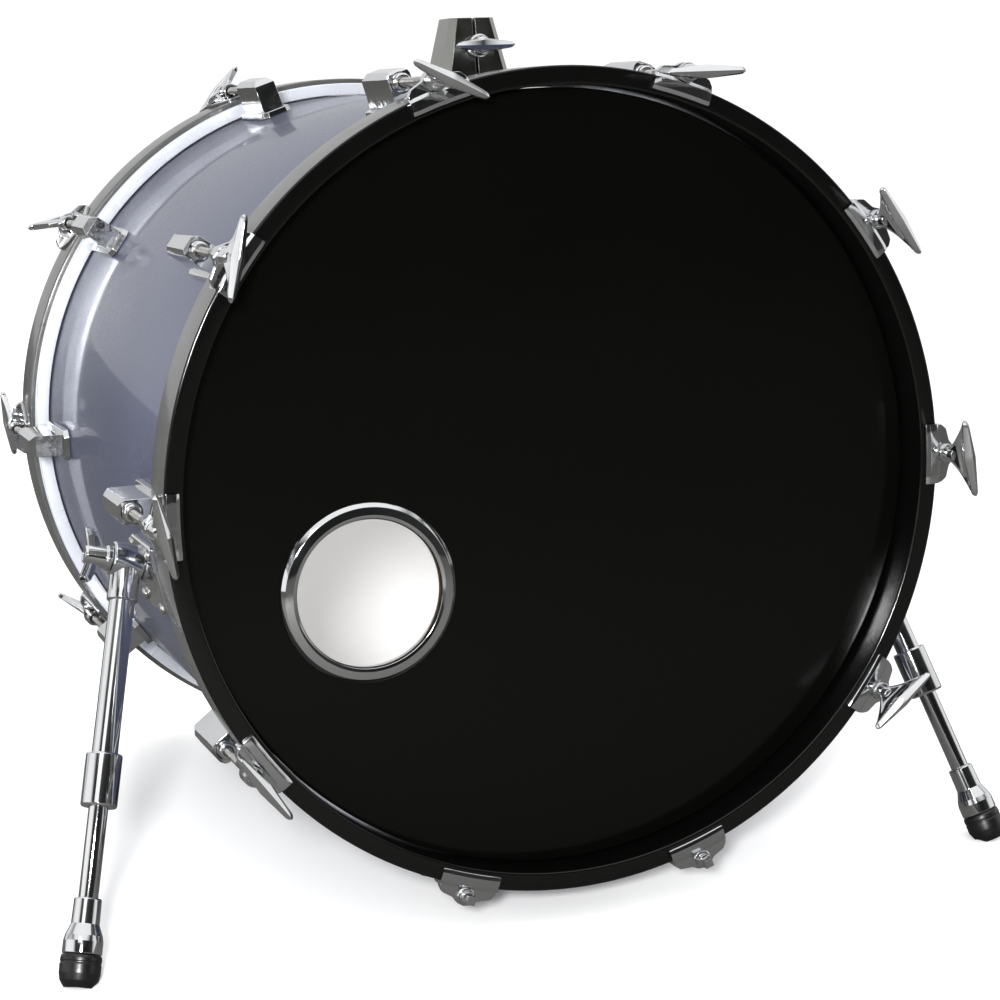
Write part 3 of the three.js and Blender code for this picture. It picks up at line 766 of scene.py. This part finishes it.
def spur_pieces():
    out = {}
    h = 11.6
    # pivot eye and sleeve, cast in one
    eye = lathe(fillet([(0, -h), (11.8, -h), (13, -h + 1.2), (13, h - 1.2), (11.8, h), (0, h)], 0.8, seg=3), 48, closed=False)
    sleeve = zlathe(fillet([(0, 5), (11.2, 5), (11.2, 29.5), (10.3, 30.4), (9.4, 30.4)], 0.8, seg=3), 48)
    out["eye"] = (join(eye, sleeve), CAST, 0, 45)
    out["pin_hole"] = (shift(xform(lathe(fillet([(0, -0.2), (1.6, -0.2), (1.7, 0.25), (0, 0.3)], 0.1, seg=2), 20, closed=False), Matrix.Rotation(0, 4, "X")), 0, -11.0, 19), STEEL, 0, 40)
    out["tube"] = (zlathe([(7.5, 30), (9.3, 30), (9.3, 143), (7.5, 143)], 48, closed=True), CHROME, 0, 40)
    col = fillet([(7.5, 142), (12.4, 142), (13.0, 143.4), (13.0, 178.4), (12.4, 180), (7.5, 180)], 0.9, closed=True, seg=4)
    out["collar"] = (zlathe(col, 56, closed=True), CHROME, 0, 45)
    boss = lathe(fillet([(0, 11.2), (3.4, 11.2), (3.4, 14.0), (2.8, 14.6), (0, 14.6)], 0.4, seg=3), 28, closed=False)
    out["collar_screw"] = (join(shift(xform(boss, Matrix.Rotation(-90 * RAD, 4, "Z")), 0, 0, 164)), STEEL, 0, 40)
    rod = zlathe(fillet([(0, 97), (6.4, 97), (7, 98), (7, 250), (0, 250)], 0.5, seg=2), 40)
    out["rod"] = (rod, CHROME, 0, 40)
    fer = fillet([(7.05, 244), (9.2, 244), (9.7, 245), (10.0, 262), (13.2, 270), (14.0, 274), (14.0, 282.8), (4.2, 282.8)], 0.9, seg=4)
    out["ferrule"] = (zlathe(fer, 48), CHROME, 0, 45)
    pin = lathe(fillet([(0, 12.6), (2.1, 12.6), (2.1, 14.6), (1.6, 15.2), (0, 15.2)], 0.3, seg=2), 20, closed=False)
    out["ferrule_pin"] = (shift(xform(pin, Matrix.Rotation(-90 * RAD, 4, "Z")), 0, 0, 277), STEEL, 0, 40)
    ft = fillet([(0, 283.3), (13.9, 283.3), (14.5, 285.4), (14.6, 287.6), (14.2, 288.2), (14.2, 289.2), (14.6, 289.8), (14.5, 296), (13.4, 301.0), (10.2, 305.8), (0, 306)], 0.8, seg=3)
    out["foot"] = (zlathe(ft, 56), RUBBER, 0, 45)
    return out


def wing_nut():
    h = 11.6 + 0.3
    hub = lathe(fillet([(4.2, h), (9.0, h), (9.4, h + 0.6), (9.4, h + 3.4), (8.0, h + 4.6), (6.9, h + 18.4), (6.0, h + 20), (4.2, h + 20)], 0.8, closed=True, seg=4), 40)
    blades = []
    for s in (-1, 1):
        secs = []
        for i in range(9):
            t = i / 8
            x = s * (5.0 + 15.3 * t)
            y0 = h + 7.5 + 6.0 * t
            y1 = h + 18.0 + 3.8 * t
            th = 3.1 - 1.3 * t
            if i == 8:
                y0, y1, th = y0 + 1.6, y1 - 1.0, th * 0.62
            secs.append([(x, y0, -th * 0.7), (x, (y0 + y1) / 2, -th), (x, y1, -th * 0.75), (x, y1, th * 0.75), (x, (y0 + y1) / 2, th), (x, y0, th * 0.7)])
        blades.append(loft(secs))
    # wings stand nearly upright, in line with the leg
    return xform(join(hub, *blades), Matrix.Rotation(90 * RAD, 4, "Y"))


def bracket():
    """Cast bracket in drum axes: curved plate on the shell, raised boss, faceted saddle between them."""
    deg = 102 * RAD
    def on(u, y, r):
        return (r * math.sin(deg) + u * math.cos(deg), y, r * math.cos(deg) - u * math.sin(deg))
    def on_shell(u, y, lift):
        a = deg + u / SHELL_R
        r = SHELL_R + 0.3 + lift
        return (r * math.sin(a), y, r * math.cos(a))
    out = fillet([(-24, 118), (24, 118), (30, 126), (30, 176), (22, 190), (-18, 190), (-24, 180)], 4, closed=True, seg=3)
    cu = sum(p[0] for p in out) / len(out)
    cy = sum(p[1] for p in out) / len(out)
    V, F = [], []
    n = len(out)
    levels = [(1.0, 0.0), (1.0, 3.4), (0.965, 4.6)]
    for k, lift in levels:
        V += [on_shell(cu + (u - cu) * k, cy + (y - cy) * k, lift) for u, y in out]
    for i in range(len(levels) - 1):
        F += [(i * n + a, i * n + (a + 1) % n, (i + 1) * n + (a + 1) % n, (i + 1) * n + a) for a in range(n)]
    V.append(on_shell(cu, cy, 4.6))
    F += [(2 * n + a, 2 * n + (a + 1) % n, len(V) - 1) for a in range(n)]
    V.append(on_shell(cu, cy, 0))
    F += [((a + 1) % n, a, len(V) - 1) for a in range(n)]
    plate = (V, F)
    def ringpts(r, y, n=20):
        pts = []
        for i in range(n):
            a = 2 * math.pi * i / n
            pts.append(tuple(LEG @ Vector((r * math.cos(a), y, r * math.sin(a)))))
        return pts
    face = -11.6 - 0.3
    # turned boss that carries the pivot
    boss = xform(lathe(fillet([(0, face - 9), (12.5, face - 9), (13.4, face - 1.2), (12.2, face), (0, face)], 1.0, seg=3), 48, closed=False), LEG)
    # faceted saddle between plate and boss
    foot = [on(u, y, 281.5) for u, y in ((-14, 126), (18, 126), (23, 133), (23, 170), (16, 180), (-10, 180), (-15, 170))]
    low = [p for p in ringpts(12.6, face - 3)]
    core = hull(foot + low)
    return plate, boss, core


def spurs():
    parts = spur_pieces()
    body_of = {"eye": "leg", "pin_hole": "leg", "tube": "leg", "collar": "leg", "collar_screw": "leg", "rod": "leg_rod", "ferrule": "leg_rod", "ferrule_pin": "leg_rod", "foot": "leg_rod"}
    node_of = {"eye": "spur_tube", "pin_hole": "spur_tube", "tube": "spur_tube", "collar": "spur_tube", "collar_screw": "spur_tube", "rod": "spur_rod", "ferrule": "spur_rod", "ferrule_pin": "spur_rod", "foot": "spur_foot"}
    plate, boss, core = bracket()
    deg = 102 * RAD
    screw = lathe(fillet([(0, 0), (4.6, 0), (4.6, 1.0), (3.4, 2.4), (0, 2.9)], 0.5, seg=3), 28, closed=False)
    for side, m in (("right", EYE), ("left", MIRROR)):
        for key, (part, mat, bev, sharp) in parts.items():
            p = xform(part, LEG)
            if key == "foot":
                p = foot_cut(p)
            p = xform(p, m)
            put("spur_%s_%s" % (key, side), to_mesh("spur_%s_%s" % (key, side), p, sharp=sharp), mat, body_of[key] + "_" + side, bevel=bev, node=node_of[key] + "_" + side)
        w = xform(xform(wing_nut(), LEG), m)
        put("spur_wing_" + side, to_mesh("spur_wing_" + side, w, sharp=40), CHROME, "wing_nut_" + side, bevel=0.3, seg=2, node="spur_wing_nut_" + side)
        put("bracket_plate_" + side, to_mesh("bracket_plate_" + side, xform(plate, m), sharp=40), CAST, "drum", bevel=0.5, node="spur_bracket_" + side)
        put("bracket_core_" + side, to_mesh("bracket_core_" + side, xform(core, m), sharp=24), CAST, "drum", bevel=1.0, seg=3, node="spur_bracket_" + side)
        put("bracket_boss_" + side, to_mesh("bracket_boss_" + side, xform(boss, m), sharp=40), CAST, "drum", node="spur_bracket_" + side)
        stud = xform(xform(lathe(fillet([(0, -13), (4, -13), (4, 28.2), (3.2, 29), (0, 29)], 0.3, seg=2), 28, closed=False), LEG), m)
        put("pivot_stud_" + side, to_mesh("pivot_stud_" + side, stud, sharp=40), STEEL, "drum", node="spur_bracket_" + side)
        for i, (u, y) in enumerate(((-18, 124), (23.5, 127), (22, 181), (-17, 183))):
            a = deg + u / SHELL_R
            r = SHELL_R + (3.7 if i == 3 else 4.9)
            R = Matrix.Translation((r * math.sin(a), y, r * math.cos(a))) @ Matrix.Rotation(a, 4, "Y") @ Matrix.Rotation(90 * RAD, 4, "X")
            s = xform(xform(screw, R), m)
            put("bracket_screw_%s_%d" % (side, i + 1), to_mesh("bracket_screw_%s_%d" % (side, i + 1), s, sharp=40), STEEL, "drum")


# ---------------------------------------------------------------- tom-post receiver
def receiver():
    out = fillet([(-30, 160), (-24, 154), (24, 154), (30, 160), (30, 220), (24, 226), (-24, 226), (-30, 220)], 3, closed=True, seg=3)
    V, F = [], []
    n = len(out)
    levels = [(1.0, None), (1.0, 284.6), (0.96, 286.0)]
    for k, z in levels:
        for u, y in out:
            x = u * k
            V.append((x, 190 + (y - 190) * k, math.sqrt((SHELL_R + 0.3) ** 2 - x * x) if z is None else z))
    for i in range(2):
        F += [(i * n + a, i * n + (a + 1) % n, (i + 1) * n + (a + 1) % n, (i + 1) * n + a) for a in range(n)]
    F += [tuple(range(2 * n, 3 * n)), tuple(reversed(range(n)))]
    def tube(r, z0, z1, q=48):
        v, f = zlathe([(r, z0), (r, z1)], q)
        return shift((v, f + [tuple(range(q)), tuple(reversed(range(q, 2 * q)))]), 0, 190, 0)
    put("receiver_base", carve("receiver_base", (V, F), [tube(13, 250, 310)]), CAST, "drum", bevel=0.6, node="mount_base")
    z0, z1 = 286.3, 334.0
    pts = []
    def level(hx, hy, z, c):
        for s in (-1, 1):
            for q in (-1, 1):
                pts.append((s * hx, 190 + q * (hy - c), z))
                pts.append((s * (hx - c), 190 + q * hy, z))
    level(27, 23, z0, 5)
    level(27, 23, z0 + 3, 5)
    level(17.4, 16.4, z1, 4.5)
    slit = box(-1, 1, 150, 186, z0 + 6, z1 + 5)
    bolt = shift(lathe([(4.3, 140), (4.3, 184)], 32, closed=False), 0, 0, 313)
    bv, bf = bolt
    bolt = (bv, bf + [tuple(range(32)), tuple(reversed(range(32, 64)))])
    put("receiver_tower", carve("receiver_tower", hull(pts), [tube(11.3, 270, 350), slit, bolt]), DARK, "drum", bevel=0.9, node="mount_tower")
    # wing bolt
    y = 168.0
    sh = lathe(fillet([(0, -6), (3.8, -6), (3.8, 9.2), (3.2, 9.8), (0, 9.8)], 0.3, seg=2), 28, closed=False)
    hub = lathe(fillet([(0, -16), (5.4, -16), (6.4, -14.8), (7.6, -8.2), (8.6, -7.4), (8.6, -1.2), (8.0, -0.6), (0, -0.6)], 0.8, seg=4), 40, closed=False)
    secs = []
    for i in range(25):
        q = i / 12 - 1
        a = abs(q)
        tip = math.sqrt(max(0.06, 1 - max(0.0, (a - 0.86) / 0.14) ** 2))
        yc = -15.5 - 4.2 * a
        hy = (4.4 - 1.3 * a) * tip
        hz = (5.6 - 3.4 * a ** 0.8) * tip
        secs.append([(q * 23, yc + hy * math.cos(t * math.pi / 4), hz * math.sin(t * math.pi / 4)) for t in range(8)])
    wing = loft(secs)
    put("receiver_wing_bolt", to_mesh("receiver_wing_bolt", shift(join(sh, hub, wing), 0, y, 313), sharp=35), CHROME, "mount_wing", node="mount_wing_bolt")
    s = zlathe(fillet([(0, 0), (4.4, 0), (4.4, 1.0), (3.2, 2.2), (0, 2.6)], 0.5, seg=3), 28)
    for i, (x, yy) in enumerate(((-24.5, 159.5), (24.5, 159.5), (24.5, 220.5), (-24.5, 220.5))):
        put("receiver_screw_%d" % (i + 1), to_mesh("receiver_screw_%d" % (i + 1), shift(s, x, yy, 285.9), sharp=40), STEEL, "drum")


shell_pieces()
hoops()
claws()
heads()
port()
lugs()
rods()
spurs()
receiver()

# ---------------------------------------------------------------- floor, light, camera
me = bpy.data.meshes.new("floor")
N = 96
me.from_pydata([(9 * math.cos(2 * math.pi * k / N), 9 * math.sin(2 * math.pi * k / N), 0) for k in range(N)], [], [tuple(range(N))])
floor = bpy.data.objects.new("floor", me)
bpy.context.scene.collection.objects.link(floor)
me.materials.append(FLOORMAT)
ft = FLOORMAT.node_tree
# painted reflection: the floor is pale to the camera and to diffuse light, but glossy rays see it near black, so chrome
# and lacquer mirror a dark floor instead of the pale one
shine = ft.nodes.new("ShaderNodeLightPath")
painted_dark_reflection = ft.nodes.new("ShaderNodeMixRGB")
painted_dark_reflection.inputs[1].default_value = (0.97, 0.97, 0.97, 1)
painted_dark_reflection.inputs[2].default_value = (0.11, 0.108, 0.104, 1)
ft.links.new(shine.outputs["Is Glossy Ray"], painted_dark_reflection.inputs[0])
ft.links.new(painted_dark_reflection.outputs[0], [n for n in ft.nodes if n.type == "BSDF_PRINCIPLED"][0].inputs["Base Color"])


def area(name, loc, target, size, power, color=(1, 1, 1), size_y=None):
    d = bpy.data.lights.new(name, "AREA")
    d.shape = "RECTANGLE"
    d.size = size
    d.size_y = size_y or size
    d.energy = power
    d.color = color
    o = bpy.data.objects.new(name, d)
    o.location = loc
    o.rotation_euler = (Vector(target) - Vector(loc)).to_track_quat("-Z", "Y").to_euler()
    bpy.context.scene.collection.objects.link(o)
    return o


area("key", (-1.5, -2.4, 2.4), (0, 0, 0.3), 1.4, 8)
area("flash", (-0.86, -2.0, 0.86), (-0.1, 0.3, 0.24), 0.22, 66)
area("side_left", (-2.6, 0.2, 1.3), (0, 0.1, 0.3), 1.2, 10, size_y=0.9)
area("side_right", (2.6, -0.6, 1.3), (0, 0, 0.3), 0.9, 10)
area("top", (0.2, 0.6, 3.2), (0, 0, 0.2), 2.2, 18)
area("back", (0.6, 3.0, 1.8), (0, 0.2, 0.3), 2.0, 18)
for o in bpy.data.objects:
    if o.type == "LIGHT":
        o.visible_glossy = o.name in ("key", "flash")
        o.visible_camera = False

world = bpy.data.worlds.new("studio")
bpy.context.scene.world = world
world.use_nodes = True
wt = world.node_tree
wt.nodes.clear()
wo = wt.nodes.new("ShaderNodeOutputWorld")
mixw = wt.nodes.new("ShaderNodeMixShader")
lp = wt.nodes.new("ShaderNodeLightPath")
seen = wt.nodes.new("ShaderNodeBackground")
seen.inputs["Color"].default_value = (1.0, 1.0, 1.0, 1)
seen.inputs["Strength"].default_value = 1.08
# what polished surfaces mirror: a dark room in front, pale walls at the back and the sides, a bright ceiling strip
env = wt.nodes.new("ShaderNodeBackground")
tc = wt.nodes.new("ShaderNodeTexCoord")
sep = wt.nodes.new("ShaderNodeSeparateXYZ")
wt.links.new(tc.outputs["Generated"], sep.inputs[0])


def band(src, stops):
    mr = wt.nodes.new("ShaderNodeMapRange")
    mr.inputs["From Min"].default_value = -1.0
    wt.links.new(src, mr.inputs["Value"])
    cr = wt.nodes.new("ShaderNodeValToRGB")
    el = cr.color_ramp.elements
    while len(el) < len(stops):
        el.new(0.5)
    for e, (p, c) in zip(el, stops):
        e.position = (p + 1) / 2
        e.color = (c, c, c, 1)
    wt.links.new(mr.outputs[0], cr.inputs[0])
    return cr.outputs[0]


by_y = band(sep.outputs["Y"], [(-1.0, 0.01), (-0.35, 0.02), (0.1, 0.05), (0.5, 0.45), (0.8, 1.0), (1.0, 0.75)])
by_x = band(sep.outputs["X"], [(-1.0, 1.25), (-0.86, 1.1), (-0.74, 0.05), (0.0, 0.0), (0.7, 0.04), (0.84, 0.9), (1.0, 1.0)])
by_z = band(sep.outputs["Z"], [(-1.0, 0.3), (-0.1, 0.02), (0.35, 0.0), (0.6, 0.05), (0.74, 1.1), (1.0, 1.2)])
add1 = wt.nodes.new("ShaderNodeMixRGB")
add1.blend_type = "LIGHTEN"
add1.inputs[0].default_value = 1.0
wt.links.new(by_y, add1.inputs[1])
wt.links.new(by_x, add1.inputs[2])
add2 = wt.nodes.new("ShaderNodeMixRGB")
add2.blend_type = "LIGHTEN"
add2.inputs[0].default_value = 1.0
wt.links.new(add1.outputs[0], add2.inputs[1])
wt.links.new(by_z, add2.inputs[2])
wt.links.new(add2.outputs[0], env.inputs["Color"])
env.inputs["Strength"].default_value = 1.0
wt.links.new(lp.outputs["Is Glossy Ray"], mixw.inputs[0])
wt.links.new(seen.outputs[0], mixw.inputs[1])
wt.links.new(env.outputs[0], mixw.inputs[2])
wt.links.new(mixw.outputs[0], wo.inputs[0])

cd = bpy.data.cameras.new("camera")
cd.lens = 84.44
cd.sensor_width = 36.0
cd.clip_start = 0.05
cd.clip_end = 60
cam = bpy.data.objects.new("camera", cd)
rows = ((0.9344, -0.3545, -0.0336), (-0.0915, -0.1479, -0.9848), (0.3441, 0.9233, -0.1706))
r = Vector(rows[0]).normalized()
b = -Vector(rows[2]).normalized()
u = b.cross(r).normalized()
r = u.cross(b)
CM = Matrix(((r.x, u.x, b.x, -0.6214), (r.y, u.y, b.y, -1.5160), (r.z, u.z, b.z, 0.2769), (0, 0, 0, 1)))
cam.matrix_world = PLACE @ CM
bpy.context.scene.collection.objects.link(cam)
bpy.context.scene.camera = cam
bpy.context.scene.view_settings.view_transform = "Standard"

bpy.context.view_layer.update()
